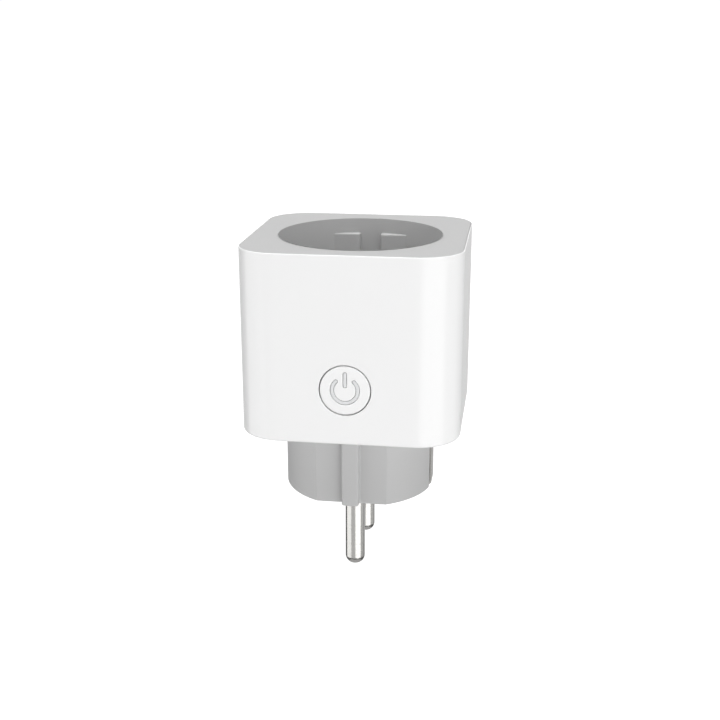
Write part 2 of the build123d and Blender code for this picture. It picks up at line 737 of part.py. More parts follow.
# The power symbol, a translucent light guide pressed into the cap
with BuildPart() as button_symbol:
    with BuildSketch(Plane.XZ.offset(cap_front_y - 0.08)):
        add(power_symbol.sketch)
    extrude(amount=-(symbol_depth - 0.08))
button_symbol.part.label = "button_symbol"
export_step(button_symbol.part, "parts/button_symbol.step")


# Four case screws, driven up from the underside of the sleeve into the cover's posts
with BuildPart() as case_screws:
    head_top_z = shoulder_z + screw_head_height + 0.6
    with BuildSketch(Plane.XY.offset(head_top_z - screw_head_height)):
        with Locations(*screw_places):
            Circle(screw_head_radius)
    extrude(amount=screw_head_height)
    fillet(case_screws.faces().group_by(Axis.Z)[0].edges(), 0.4)
    with BuildSketch(Plane.XY.offset(head_top_z)):
        with Locations(*screw_places):
            Circle(screw_radius)
    extrude(amount=screw_top_z - head_top_z - 0.5)
    # three-lobed driver recess
    with BuildSketch(Plane.XY.offset(head_top_z - screw_head_height)):
        with Locations(*screw_places):
            RegularPolygon(1.2, 3)
    extrude(amount=1.0, mode=Mode.SUBTRACT)
case_screws.part.label = "case_screws"
export_step(case_screws.part, "parts/case_screws.step")
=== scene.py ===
import json
from math import cos, degrees, radians, sin, sqrt

import bmesh
import bpy
import numpy as np
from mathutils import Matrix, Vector
from mathutils.geometry import tessellate_polygon


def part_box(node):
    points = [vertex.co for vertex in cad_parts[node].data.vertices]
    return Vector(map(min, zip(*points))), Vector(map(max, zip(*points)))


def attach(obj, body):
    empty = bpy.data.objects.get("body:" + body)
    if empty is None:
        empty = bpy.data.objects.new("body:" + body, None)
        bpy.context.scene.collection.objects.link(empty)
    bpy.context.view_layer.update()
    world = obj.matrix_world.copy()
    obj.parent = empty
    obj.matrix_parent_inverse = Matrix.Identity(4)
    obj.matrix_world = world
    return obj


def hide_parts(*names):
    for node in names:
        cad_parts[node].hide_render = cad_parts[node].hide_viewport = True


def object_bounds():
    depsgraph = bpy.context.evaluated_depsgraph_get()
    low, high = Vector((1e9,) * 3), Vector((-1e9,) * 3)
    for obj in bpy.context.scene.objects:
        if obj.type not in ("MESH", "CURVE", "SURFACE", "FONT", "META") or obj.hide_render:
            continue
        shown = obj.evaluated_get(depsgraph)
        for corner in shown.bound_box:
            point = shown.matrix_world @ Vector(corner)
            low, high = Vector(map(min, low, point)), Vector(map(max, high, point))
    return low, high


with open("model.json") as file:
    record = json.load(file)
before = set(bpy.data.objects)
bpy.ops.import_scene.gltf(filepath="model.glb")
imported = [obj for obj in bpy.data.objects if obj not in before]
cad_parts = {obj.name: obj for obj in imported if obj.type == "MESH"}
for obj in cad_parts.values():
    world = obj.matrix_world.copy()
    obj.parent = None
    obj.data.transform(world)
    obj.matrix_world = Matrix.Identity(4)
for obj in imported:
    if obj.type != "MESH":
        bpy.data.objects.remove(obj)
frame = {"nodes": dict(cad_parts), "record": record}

bl_info = {
    "name": "Smart Plug",
    "version": (1, 0, 0),
    "blender": (4, 5, 0),
    "location": "View3D > Sidebar > Smart Plug",
    "description": "Builds the visible shells, finishes and studio of a square smart plug",
    "category": "Object",
}

MM = 0.001
CAD_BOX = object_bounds()
SLEEVE_LOW, SLEEVE_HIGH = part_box("housing_sleeve")
COVER_LOW, COVER_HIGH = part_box("socket_cover")
CAP_LOW, CAP_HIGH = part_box("button_cap")
SCREW_LOW, SCREW_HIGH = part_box("case_screws")
STRIP_LOW, STRIP_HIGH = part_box("plug_earth_right")
MOUNTS = {mount["name"]: mount for mount in frame["record"]["mounts"]}
TURN = 2 * np.pi

MERGE_DISTANCE = 0.0005 * MM
LEDGE_DEPTH = 2 * MM
PIN_SHANK = 2.0 * MM
SCREW_HEAD = 2.5 * MM
SCREW_REACH = (SCREW_HIGH.x - SCREW_LOW.x) / 2 - SCREW_HEAD
SCREW_PLACES = [(x, y) for x in (-SCREW_REACH, SCREW_REACH) for y in (-SCREW_REACH, SCREW_REACH)]
FLOOR_GAP = 0.05 * MM
AIM_X = -0.16 * MM
AIR_GLOW = 0.14
GRAIN = 0.28 * MM
DRIFT_WIDTH = 50 / 3 * MM


# ---------------------------------------------------------------- settings


def length(name, description, default):
    """A length property, in metres."""
    return bpy.props.FloatProperty(
        name=name, description=description, default=default, min=0, precision=5,
        subtype="DISTANCE", unit="LENGTH",
    )


def colour(name, description, default):
    """A colour property: an sRGB hex value."""
    return bpy.props.StringProperty(name=name, description=description, default=default)


class PlugSizes(bpy.types.PropertyGroup):
    """Sizes of the visible shells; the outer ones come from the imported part."""

    corner: length("Corner radius", "Radius of the four upright edges", 10.0 * MM)
    wall: length("Wall", "Thickness of the moulded walls", 1.8 * MM)
    floor: length("Floor", "Thickness of the sleeve's and the recess's floor", 2.0 * MM)
    lip: length("Lip", "White edge that frames the grey cover", 0.3 * MM)
    bottom_edge: length("Bottom edge", "Rounding of the sleeve's lower edge", 0.5 * MM)
    top_edge: length("Top edge", "Rounding of the sleeve's upper edge", 0.2 * MM)
    recess: length("Recess radius", "Radius of the round socket recess", 19.5 * MM)
    recess_depth: length("Recess depth", "Depth of the socket recess", 17.5 * MM)
    cup_wall: length("Cup wall", "Wall of the cup round the recess", 1.6 * MM)
    guide_y: length("Guide face", "Distance of the guide blocks' faces from the centre", 17.2 * MM)
    guide_drop: length("Guide drop", "How far the guide blocks' tops lie below the rim", 3.6 * MM)
    slot: length("Guide slot", "Width of the slot between two guide blocks", 5.2 * MM)
    base: length("Base radius", "Radius of the plug base", 18.45 * MM)
    base_flat: length("Base flat", "Distance of the plug base's flats from the centre", 16.45 * MM)
    rib: length("Rib", "Width of the plug base's ribs", 4.1 * MM)
    button: length("Button radius", "Radius of the power button", 5.75 * MM)
    button_gap: length("Button gap", "Gap round the power button", 0.27 * MM)
    symbol: length("Symbol radius", "Middle radius of the power symbol's arc", 2.95 * MM)
    stroke: length("Symbol stroke", "Width of the power symbol's lines", 0.74 * MM)
    bar_low: length("Bar low", "Lower end of the power symbol's bar above its centre", 0.72 * MM)
    bar_high: length("Bar high", "Upper end of the power symbol's bar above its centre", 4.24 * MM)
    opening: bpy.props.FloatProperty(
        name="Symbol opening", description="Half of the angle that the power symbol's arc leaves open",
        default=radians(45), subtype="ANGLE", unit="ROTATION",
    )


class PlugColours(bpy.types.PropertyGroup):
    """Colours of the finishes, as sRGB hex values."""

    white_abs: colour("White ABS", "Moulded sleeve", "F3F3F3")
    grey_abs: colour("Grey ABS", "Moulded cover and base", "BEBEBE")
    button_abs: colour("Button ABS", "Moulded button cap", "F4F4F4")
    symbol_acrylic: colour("Symbol acrylic", "Light guide in the button", "DFE0E1")
    nickel: colour("Nickel plate", "Plug pins and side contacts", "C4C3C0")
    brass: colour("Brass", "Earth parts inside", "C9A464")
    bronze: colour("Bronze", "Socket contacts", "B98A5A")
    steel: colour("Zinc-plated steel", "Screws and springs", "B9BABC")
    floor: colour("Floor", "Studio floor, under its own white glow", "808080")


class StudioSetup(bpy.types.PropertyGroup):
    """Where the camera and the lights stand."""

    azimuth: bpy.props.FloatProperty(
        name="Azimuth", description="Camera's turn to the right of the button face",
        default=radians(8.05), subtype="ANGLE", unit="ROTATION",
    )
    elevation: bpy.props.FloatProperty(
        name="Elevation", description="Camera's height above the horizon",
        default=radians(17.33), subtype="ANGLE", unit="ROTATION",
    )
    distance: length("Distance", "Camera's distance from its target", 284.7 * MM)
    target: length("Target height", "Height that the camera looks at", 31.09 * MM)
    lens: bpy.props.FloatProperty(
        name="Lens", description="Focal length on a 36 mm sensor", default=57.73,
        subtype="DISTANCE_CAMERA", unit="CAMERA",
    )


# ---------------------------------------------------------------- surfaces


def ring(flat_points, z):
    """Points of a flat outline, all at height z (one number, or one for each point)."""
    return np.column_stack([flat_points, np.broadcast_to(z, len(flat_points))])


def circle(radius, z, spokes, centre=(0, 0)):
    """Centre plus radius times (cos, sin) of each spoke's angle, at height z."""
    flat_points = np.column_stack([np.cos(spokes), np.sin(spokes)]) * radius + centre
    return ring(flat_points, z)


def rounded_square(half, corner, z, spokes):
    """Where a ray at each spoke's angle meets the square: on its flat side at half / max(|cos|, |sin|), and
    past the side's end on the corner's circle, by the quadratic for a ray and a circle."""
    direction = np.column_stack([np.cos(spokes), np.sin(spokes)])
    on_flat = half / np.abs(direction).max(axis=1)
    core = half - corner
    along = (np.sign(direction) * core * direction).sum(axis=1)
    on_arc = along + np.sqrt(np.maximum(along**2 - 2 * core**2 + corner**2, 0))
    past_side = (np.abs(direction * on_flat[:, None]) > core).all(axis=1)
    return ring(direction * np.where(past_side, on_arc, on_flat)[:, None], z)


def arc(centre, radius, start, end, count):
    """Points of a flat arc: centre plus radius times (cos, sin) of angles from start to end, in degrees."""
    angles = np.radians(np.linspace(start, end, count))
    return np.column_stack([np.cos(angles), np.sin(angles)]) * radius + centre


def roll(radius, count=5):
    """A quarter round between a wall and a face: (distance in from the wall, distance short of the face),
    radius * (1 - cos a) and radius * (1 - sin a) for a from 0 to 90 degrees."""
    angles = np.linspace(0, np.pi / 2, count)
    return radius * (1 - np.cos(angles)), radius * (1 - np.sin(angles))


def inset(outline, distance):
    """A closed outline moved inwards: each point by distance along the mean of its two sides' normals,
    lengthened so that the sides move by distance. The outline runs anticlockwise."""
    side = np.roll(outline, -1, axis=0) - outline
    side /= np.linalg.norm(side, axis=1, keepdims=True)
    normal = np.column_stack([-side[:, 1], side[:, 0]])
    mean = normal + np.roll(normal, 1, axis=0)
    mean /= np.maximum((mean * mean).sum(axis=1, keepdims=True) / 2, 0.5)
    return outline + mean * np.reshape(distance, (-1, 1))


def loft(rings, keep=None):
    """Quads between neighbouring rings, which have equal counts and each close on themselves. keep says
    which quads stay, by row and spoke."""
    rings = np.asarray(rings)
    rows, count = rings.shape[:2]
    row, spoke = np.meshgrid(np.arange(rows - 1), np.arange(count), indexing="ij")
    after = (spoke + 1) % count
    quads = np.stack([row * count + spoke, row * count + after, (row + 1) * count + after,
                      (row + 1) * count + spoke], axis=-1)
    quads = quads.reshape(-1, 4) if keep is None else quads[keep]
    return rings.reshape(-1, 3), quads


def plate(*outlines):
    """The flat face inside the first outline and outside the others, in triangles."""
    loops = [[Vector(point) for point in outline] for outline in outlines]
    return np.concatenate(outlines), np.array(tessellate_polygon(loops))


def post(centre, radius, low, high, spokes):
    """A closed upright cylinder."""
    bottom, top = (circle(radius, z, spokes, centre) for z in (low, high))
    return [loft([bottom, top]), plate(bottom), plate(top)]


def prism(outline, low, high, edge):
    """A closed upright prism on a flat outline, whose upper edge is rolled: the outline is inset by
    edge * (1 - cos a) as it rises by edge * sin a."""
    in_from, short_of = roll(edge)
    rings = [ring(outline, low)]
    rings += [ring(inset(outline, i), high - s) for i, s in zip(in_from, short_of)]
    return [loft(rings), plate(rings[0]), plate(rings[-1])]


def towards_front(points):
    """Turns a shape drawn in X and Y with its front up into one that faces -Y, with its Y as height."""
    return np.column_stack([points[:, 0], -points[:, 2], points[:, 1]])


# ---------------------------------------------------------------- pieces


def finish_mesh(piece, sharp_angle=32):
    """Merges the seams, points the faces outwards and shades smooth, apart from edges over sharp_angle."""
    mesh = piece.data
    shell = bmesh.new()
    shell.from_mesh(mesh)
    bmesh.ops.remove_doubles(shell, verts=shell.verts, dist=MERGE_DISTANCE)
    bmesh.ops.recalc_face_normals(shell, faces=shell.faces)
    shell.to_mesh(mesh)
    shell.free()
    mesh.shade_smooth()
    mesh.set_sharp_from_angle(angle=radians(sharp_angle))
    weighted = piece.modifiers.new("face weighted normals", "WEIGHTED_NORMAL")
    weighted.keep_sharp = True


def new_piece(name, surfaces, material, body, stands_for):
    """Makes one object of the surfaces, gives it its finish, ties it to its body and hides the CAD nodes it
    stands for.
    """
    points, faces, used = [], [], 0
    for surface_points, surface_faces in surfaces:
        points.append(surface_points)
        faces += (np.asarray(surface_faces) + used).tolist()
        used += len(surface_points)
    mesh = bpy.data.meshes.new(name)
    mesh.from_pydata(np.concatenate(points), [], faces)
    piece = bpy.data.objects.new(name, mesh)
    bpy.context.scene.collection.objects.link(piece)
    mesh.materials.append(material)
    finish_mesh(piece)
    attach(piece, body)
    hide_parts(*stands_for)
    return piece


def paint_node(node, material):
    """Gives a CAD node that shows as it is its finish."""
    slots = frame["nodes"][node].data.materials
    slots.clear()
    slots.append(material)


# ---------------------------------------------------------------- finishes


def linear(hex_value, alpha=1.0):
    """An sRGB hex colour as linear red, green, blue and alpha."""
    parts = [int(hex_value.lstrip("#")[i:i + 2], 16) / 255 for i in (0, 2, 4)]
    return (*(c / 12.92 if c <= 0.04045 else ((c + 0.055) / 1.055) ** 2.4 for c in parts), alpha)


def add_node(tree, kind, inputs=None, **settings):
    """Adds a node, sets its properties, and sets or links its inputs."""
    node = tree.nodes.new(kind)
    for name, value in settings.items():
        setattr(node, name, value)
    for name, value in (inputs or {}).items():
        if isinstance(value, bpy.types.NodeSocket):
            tree.links.new(value, node.inputs[name])
        else:
            node.inputs[name].default_value = value
    return node


def new_finish(name, **uniform):
    """An empty material with its Principled shader, its output and Object coordinates."""
    material = bpy.data.materials.new(name)
    material.use_nodes = True
    tree = material.node_tree
    tree.nodes.clear()
    shader = add_node(tree, "ShaderNodeBsdfPrincipled", uniform)
    add_node(tree, "ShaderNodeOutputMaterial", {"Surface": shader.outputs["BSDF"]})
    coordinates = add_node(tree, "ShaderNodeTexCoord")
    return material, tree, shader, coordinates.outputs["Object"]


def moulded(name, hex_value, roughness, grain, relief):
    """Moulded plastic from a spark-eroded tool: a fine even grain, grain metres across and relief metres
    high, that scatters the shine a little, under a faint drift of tone from the moulding."""
    material, tree, shader, place = new_finish(name, **{"IOR": 1.53})
    pits = add_node(tree, "ShaderNodeTexNoise", {"Vector": place, "Scale": 1 / grain, "Detail": 2.0})
    drift = add_node(tree, "ShaderNodeTexNoise", {"Vector": place, "Scale": 1 / DRIFT_WIDTH, "Detail": 1.0})
    full, faintly_darker, spread = linear(hex_value), 0.985, 0.04
    shade = [c * faintly_darker for c in full[:3]] + [1.0]
    tone = add_node(tree, "ShaderNodeMix", {"Factor": drift.outputs["Fac"]}, data_type="RGBA")
    tone.inputs["A"].default_value = shade
    tone.inputs["B"].default_value = full
    tone_colour = next(o for o in tone.outputs if o.type == "RGBA")
    tree.links.new(tone_colour, shader.inputs["Base Color"])
    matt = add_node(tree, "ShaderNodeMapRange", {
        "Value": pits.outputs["Fac"], "From Min": 0.3, "From Max": 0.7,
        "To Min": roughness - spread, "To Max": roughness + spread,
    })
    tree.links.new(matt.outputs["Result"], shader.inputs["Roughness"])
    bump = add_node(tree, "ShaderNodeBump", {
        "Height": pits.outputs["Fac"], "Distance": relief, "Strength": 1.0,
    })
    tree.links.new(bump.outputs["Normal"], shader.inputs["Normal"])
    return material


def plated(name, hex_value, roughness, pitch, relief):
    """Plated metal over turned or rolled stock: fine marks that lie one above another along Z, pitch metres
    apart, blur the shine crosswise."""
    material, tree, shader, place = new_finish(name, **{"Metallic": 1.0})
    shader.inputs["Base Color"].default_value = linear(hex_value)
    crosswise, spread = 0.05, 0.05
    squeezed = add_node(tree, "ShaderNodeMapping", {"Vector": place, "Scale": (crosswise, crosswise, 1.0)})
    marks = add_node(tree, "ShaderNodeTexNoise", {
        "Vector": squeezed.outputs["Vector"], "Scale": 1 / pitch, "Detail": 2.0,
    })
    blur = add_node(tree, "ShaderNodeMapRange", {
        "Value": marks.outputs["Fac"], "From Min": 0.3, "From Max": 0.7,
        "To Min": roughness - spread, "To Max": roughness + spread,
    })
    tree.links.new(blur.outputs["Result"], shader.inputs["Roughness"])
    bump = add_node(tree, "ShaderNodeBump", {
        "Height": marks.outputs["Fac"], "Distance": relief, "Strength": 1.0,
    })
    tree.links.new(bump.outputs["Normal"], shader.inputs["Normal"])
    return material


def finish_of(name):
    """The named finish, made the first time it is asked for."""
    found = bpy.data.materials.get(name)
    if found:
        return found
    c = bpy.context.scene.plug_colours
    makers = {
        # white ABS from a nearly polished tool: its highlights keep clear edges
        "satin white ABS": lambda n: moulded(n, c.white_abs, 0.22, GRAIN, 0.001 * MM),
        # matt grey ABS, sparked a little coarser: almost no shine
        "matt grey ABS": lambda n: moulded(n, c.grey_abs, 0.55, GRAIN, 0.004 * MM),
        # the button is polished a little finer than the sleeve
        "button white ABS": lambda n: moulded(n, c.button_abs, 0.36, GRAIN, 0.001 * MM),
        # frosted acrylic: a cool pale grey, smoother than the cap round it
        "frosted acrylic": lambda n: moulded(n, c.symbol_acrylic, 0.30, GRAIN, 0.001 * MM),
        # nickel plate on turned brass: bright, with faint turning rings
        "nickel plate": lambda n: plated(n, c.nickel, 0.22, 0.35 * MM, 0.0002 * MM),
        # stamped brass: warm yellow, dulled by the press
        "stamped brass": lambda n: plated(n, c.brass, 0.35, 0.4 * MM, 0.002 * MM),
        # spring bronze: redder than the brass and a little brighter
        "spring bronze": lambda n: plated(n, c.bronze, 0.32, 0.4 * MM, 0.001 * MM),
        # zinc on steel: cool grey with a soft shine
        "zinc-plated steel": lambda n: plated(n, c.steel, 0.38, 0.3 * MM, 0.002 * MM),
        # glass-filled PBT: near black and dry
        "black PBT": lambda n: moulded(n, "26272A", 0.5, GRAIN, 0.004 * MM),
        # POM: plain mid grey, slightly waxy
        "grey POM": lambda n: moulded(n, "8A8B8E", 0.45, GRAIN, 0.002 * MM),
        # solder mask over copper: deep green, uneven and half glossy
        "soldermask green": lambda n: moulded(n, "1E5B38", 0.35, 0.9 * MM, 0.002 * MM),
        # moulded component cases: smooth, in their makers' usual colours
        "relay case blue": lambda n: moulded(n, "1D3566", 0.4, GRAIN, 0.002 * MM),
        "capacitor case yellow": lambda n: moulded(n, "C9A92F", 0.4, GRAIN, 0.002 * MM),
        # shrink sleeve: black, shiny and gently wavy
        "shrink sleeve black": lambda n: moulded(n, "17181C", 0.28, 0.8 * MM, 0.002 * MM),
        # dipped epoxy: a thick lumpy coat
        "epoxy dip blue": lambda n: moulded(n, "2B5FA8", 0.35, 0.6 * MM, 0.004 * MM),
        # sintered ferrite: charcoal with a stony surface
        "ferrite": lambda n: moulded(n, "2B2B2D", 0.6, 0.2 * MM, 0.006 * MM),
        # polyester tape: clear yellow and shiny
        "polyester tape": lambda n: moulded(n, "D3B53C", 0.25, 0.8 * MM, 0.001 * MM),
        # baked lacquer: pale green, slightly rippled
        "resistor lacquer": lambda n: moulded(n, "4C7F66", 0.4, 0.4 * MM, 0.003 * MM),
        # chip epoxy: black and matt
        "chip epoxy": lambda n: moulded(n, "1B1B1D", 0.55, 0.2 * MM, 0.003 * MM),
    }
    return makers[name](name)


INNER_FINISHES = {
    "plug_earth_left": "nickel plate", "plug_earth_right": "nickel plate",
    "earth_spring_left": "nickel plate", "earth_spring_right": "nickel plate",
    "earth_frame": "stamped brass", "earth_rivets": "stamped brass", "earth_receptacle": "stamped brass",
    "live_contact": "spring bronze", "neutral_contact": "spring bronze",
    "case_screws": "zinc-plated steel", "shutter_spring": "zinc-plated steel",
    "module_shield": "zinc-plated steel",
    "contact_carrier": "black PBT", "board_header": "black PBT", "switch_case": "black PBT",
    "switch_plunger": "grey POM", "shutter": "grey POM",
    "power_board": "soldermask green", "control_board": "soldermask green",
    "wireless_module": "soldermask green",
    "relay": "relay case blue", "film_capacitor": "capacitor case yellow",
    "electrolytic_capacitors": "shrink sleeve black", "varistor": "epoxy dip blue",
    "transformer_core": "ferrite", "choke": "ferrite", "transformer_winding": "polyester tape",
    "fuse_resistor": "resistor lacquer", "bridge_rectifier": "chip epoxy", "metering_chip": "chip epoxy",
    "status_lamp": "frosted acrylic",
}


# ---------------------------------------------------------------- operators


class SMARTPLUG_OT_sleeve(bpy.types.Operator):
    """Build the white sleeve with its lip, button window and screw wells"""

    bl_idname = "smartplug.sleeve"
    bl_label = "White Sleeve"

    def execute(self, context):
        s = context.scene.plug_sizes
        spokes = np.linspace(0, TURN, 288, endpoint=False)
        half, low, high = SLEEVE_HIGH.x, SLEEVE_LOW.z, SLEEVE_HIGH.z
        ledge, floor_top = high - LEDGE_DEPTH, low + s.floor
        lip_edge, window_edge, panel_half = 0.08 * MM, 0.15 * MM, 9 * MM

        # wall: (distance in from the outside, height) up the outside, over the lip and down the inside
        bottom_in, bottom_up = roll(s.bottom_edge, 7)
        top_in, top_down = roll(s.top_edge, 7)
        lip_in, lip_down = roll(lip_edge, 3)
        wall_in = [*bottom_in[::-1], *top_in, *(s.lip - lip_in[::-1]), s.lip, s.wall, s.wall]
        wall_z = [
            *(low + bottom_up[::-1]), *(high - top_down), *(high - lip_down[::-1]), ledge, ledge, floor_top,
        ]
        rings = np.array([
            rounded_square(half - i, s.corner - i, z, spokes) for i, z in zip(wall_in, wall_z)
        ])
        keep = np.ones((len(rings) - 1, len(spokes)), bool)
        in_panel = (rings[0][:, 1] < 0) & (np.abs(rings[0][:, 0]) < panel_half)
        outer_row, inner_row = len(bottom_in) - 1, len(rings) - 2
        for row in (outer_row, inner_row):
            keep[row] = ~(in_panel & np.roll(in_panel, -1))
        surfaces = [loft(rings, keep)]

        # round window: a flat panel in the outer and in the inner wall, and a tunnel with a rolled edge
        window_spokes = np.linspace(0, TURN, 96, endpoint=False)
        window_z = (CAP_LOW.z + CAP_HIGH.z) / 2
        window_radius = s.button + s.button_gap
        edge_in, edge_back = roll(window_edge)
        tunnel = [
            towards_front(circle(window_radius + d, half - b, window_spokes, (0, window_z)))
            for d, b in zip(edge_back, edge_in)
        ]
        tunnel.append(towards_front(circle(window_radius, half - s.wall, window_spokes, (0, window_z))))
        surfaces.append(loft(tunnel))
        for row, opening in ((outer_row, tunnel[0]), (inner_row, tunnel[-1])):
            border = np.concatenate([rings[row][in_panel], rings[row + 1][in_panel][::-1]])
            surfaces.append(plate(border, opening))

        # floor: plates below and above, the plug base's opening, and the wells and bosses of the screws
        base_gap, well_edge = 0.1 * MM, 0.1 * MM
        opening = [circle(s.base + base_gap, z, spokes) for z in (low, floor_top)]
        surfaces.append(loft(opening))
        screw_spokes = np.linspace(0, TURN, 48, endpoint=False)
        boss_height, well_depth = 2.5 * MM, 2.3 * MM
        boss_top, well_top = floor_top + boss_height, low + well_depth
        well_radius, shank_radius, boss_radius = 2.7 * MM, 1.5 * MM, 3.6 * MM
        section = [
            (well_radius + well_edge, low), (well_radius, low + well_edge), (well_radius, well_top),
            (shank_radius, well_top), (shank_radius, boss_top), (boss_radius, boss_top),
            (boss_radius, floor_top),
        ]
        wells, bosses = [], []
        for place in SCREW_PLACES:
            stack = [circle(r, z, screw_spokes, place) for r, z in section]
            surfaces.append(loft(stack))
            wells.append(stack[0])
            bosses.append(stack[-1])
        surfaces.append(plate(rings[0], opening[0], *wells))
        surfaces.append(plate(rings[-1], opening[1], *bosses))
        new_piece("white_sleeve", surfaces, finish_of("satin white ABS"), "housing",
                  ["housing_sleeve"])
        return {"FINISHED"}


class SMARTPLUG_OT_cover(bpy.types.Operator):
    """Build the grey socket cover: top plate, recess, guide blocks, pin holes and posts"""

    bl_idname = "smartplug.cover"
    bl_label = "Socket Cover"

    def execute(self, context):
        s = context.scene.plug_sizes
        half, high = COVER_HIGH.x, COVER_HIGH.z
        corner = s.corner - (SLEEVE_HIGH.x - half)
        plate_low = high - LEDGE_DEPTH
        plate_edge, mouth_edge, hole_edge = 0.1 * MM, 0.2 * MM, 0.3 * MM
        window_height, window_half = 13.3 * MM, 3.0 * MM
        recess_z = high - s.recess_depth
        cup_low = recess_z - s.floor
        cup = s.recess + s.cup_wall
        window_top = recess_z + window_height
        window_angle = np.arcsin(window_half / s.recess)
        spokes = np.unique(np.round(np.concatenate([
            np.linspace(0, TURN, 240, endpoint=False),
            np.array([window_angle, np.pi - window_angle, np.pi + window_angle, TURN - window_angle]),
        ]), 9))

        # top plate: its rolled outer edge, its face, and the rolled edge of the recess
        plate_in, plate_down = roll(plate_edge, 3)
        mouth_in, mouth_down = roll(mouth_edge, 7)
        top = [rounded_square(half, corner, plate_low, spokes)]
        top += [
            rounded_square(half - i, corner - i, high - d, spokes) for i, d in zip(plate_in, plate_down)
        ]
        top += [circle(s.recess + i, high - d, spokes) for i, d in zip(mouth_down[::-1], mouth_in[::-1])]
        surfaces = [loft(top)]

        # recess wall and the cup's outside, each with a window at +X and -X for an earth spring
        at_window = np.abs(np.sin(spokes)) < np.sin(window_angle) + 1e-6
        open_quads = at_window & np.roll(at_window, -1)
        walls = []
        for radius, heights in (
            (s.recess, (top[-1][0, 2], window_top, recess_z)),
            (cup, (plate_low, window_top, recess_z, cup_low)),
        ):
            rows = [circle(radius, z, spokes) for z in heights]
            keep = np.ones((len(rows) - 1, len(spokes)), bool)
            keep[1] = ~open_quads
            surfaces.append(loft(rows, keep))
            walls.append(rows)
        for side in (1, -1):
            chosen = np.flatnonzero(at_window & (np.cos(spokes) * side > 0))
            chosen = chosen[np.argsort(np.sin(spokes[chosen]))]
            borders = [
                np.concatenate([rows[2][chosen], rows[1][chosen][::-1]]) for rows in walls
            ]
            surfaces.append(loft(borders))
        surfaces.append(loft([top[0], walls[1][0]]))

        # floor of the recess, with the two pin holes, and the stub that the shutter turns on
        hole_spokes = np.linspace(0, TURN, 48, endpoint=False)
        hole_in, hole_down = roll(hole_edge)
        pin_y = MOUNTS["neutral_hole"]["pos_m"][1]
        hole_radius = MOUNTS["neutral_hole"]["dims"]["r_mm"] * MM
        mouths, exits = [], []
        for y in (-pin_y, pin_y):
            hole = [
                circle(hole_radius + i, recess_z - d, hole_spokes, (0, y))
                for i, d in zip(hole_down[::-1], hole_in[::-1])
            ]
            hole = hole[::-1] if hole[0][0, 2] < hole[-1][0, 2] else hole
            hole.append(circle(hole_radius, cup_low, hole_spokes, (0, y)))
            surfaces.append(loft(hole))
            mouths.append(hole[0])
            exits.append(hole[-1])
        surfaces.append(plate(walls[0][-1], *mouths))
        surfaces.append(plate(walls[1][-1], *exits))
        stub_radius, stub_overlap = 2.5 * MM, 1.9 * MM
        stub_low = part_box("contact_carrier")[1].z - stub_overlap
        surfaces += post((0, 0), stub_radius, stub_low, cup_low, hole_spokes)

        # guide blocks: a chord across the recess with a rounded corner at the slot, its back in the wall
        corner_round, block_edge, sunk = 0.5 * MM, 0.4 * MM, 0.5 * MM
        slot_x = s.slot / 2
        back = s.recess + s.cup_wall / 2
        end_x = sqrt(back**2 - s.guide_y**2)
        back_angles = np.degrees([np.arctan2(s.guide_y, end_x), np.arccos(slot_x / back)])
        quarter = np.concatenate([
            arc((slot_x + corner_round, s.guide_y + corner_round), corner_round, 180, 270, 8),
            arc((0, 0), back, *back_angles, 14),
        ])
        for x_side, y_side in ((1, 1), (-1, 1), (-1, -1), (1, -1)):
            outline = quarter * (x_side, y_side)
            outline = outline if x_side * y_side > 0 else outline[::-1]
            surfaces += prism(outline, recess_z - sunk, high - s.guide_drop, block_edge)

        # posts for the case screws
        post_radius = 2.8 * MM
        for place in SCREW_PLACES:
            surfaces += post(place, post_radius, COVER_LOW.z, plate_low + sunk, hole_spokes)
        new_piece("socket_cover_shell", surfaces, finish_of("matt grey ABS"), "housing",
                  ["socket_cover"])
        return {"FINISHED"}


def angle_of(point):
    """A flat point's angle from +X, in degrees."""
    return np.degrees(np.arctan2(point[1], point[0]))


def base_outline(s, groove_x, groove_half, pocket_x, pocket_half):
    """Anticlockwise outline of the plug base. One quarter is drawn and mirrored: the pocket and groove of
    the earth contact, the round side, the flat and the rib with its rounded corners."""
    lift = 0.3 * MM
    groove_y = groove_half + lift
    groove_corner = np.array([sqrt((s.base - lift) ** 2 - groove_y**2), groove_y])
    rib_half, rib_round = s.rib / 2, 0.5 * MM
    rib_x = rib_half - rib_round
    rib_corner = np.array([rib_x, sqrt((s.base - rib_round) ** 2 - rib_x**2)])
    flat_start = sqrt(s.base**2 - s.base_flat**2)
    quarter = np.concatenate([
        [(pocket_x, 0), (pocket_x, pocket_half), (groove_x, pocket_half), (groove_x, groove_half)],
        arc(groove_corner, lift, -90, angle_of(groove_corner), 6),
        arc((0, 0), s.base, angle_of(groove_corner) + 1, angle_of((flat_start, s.base_flat)), 40),
        arc((rib_half + lift, s.base_flat + lift), lift, 270, 180, 6),
        arc(rib_corner, rib_round, 0, angle_of(rib_corner), 7),
        arc((0, 0), s.base, angle_of(rib_corner) + 1, 90, 5),
    ])
    half_turn = np.concatenate([quarter, (quarter * (-1, 1))[::-1][1:]])
    return np.concatenate([half_turn[:-1], -half_turn[:-1]])


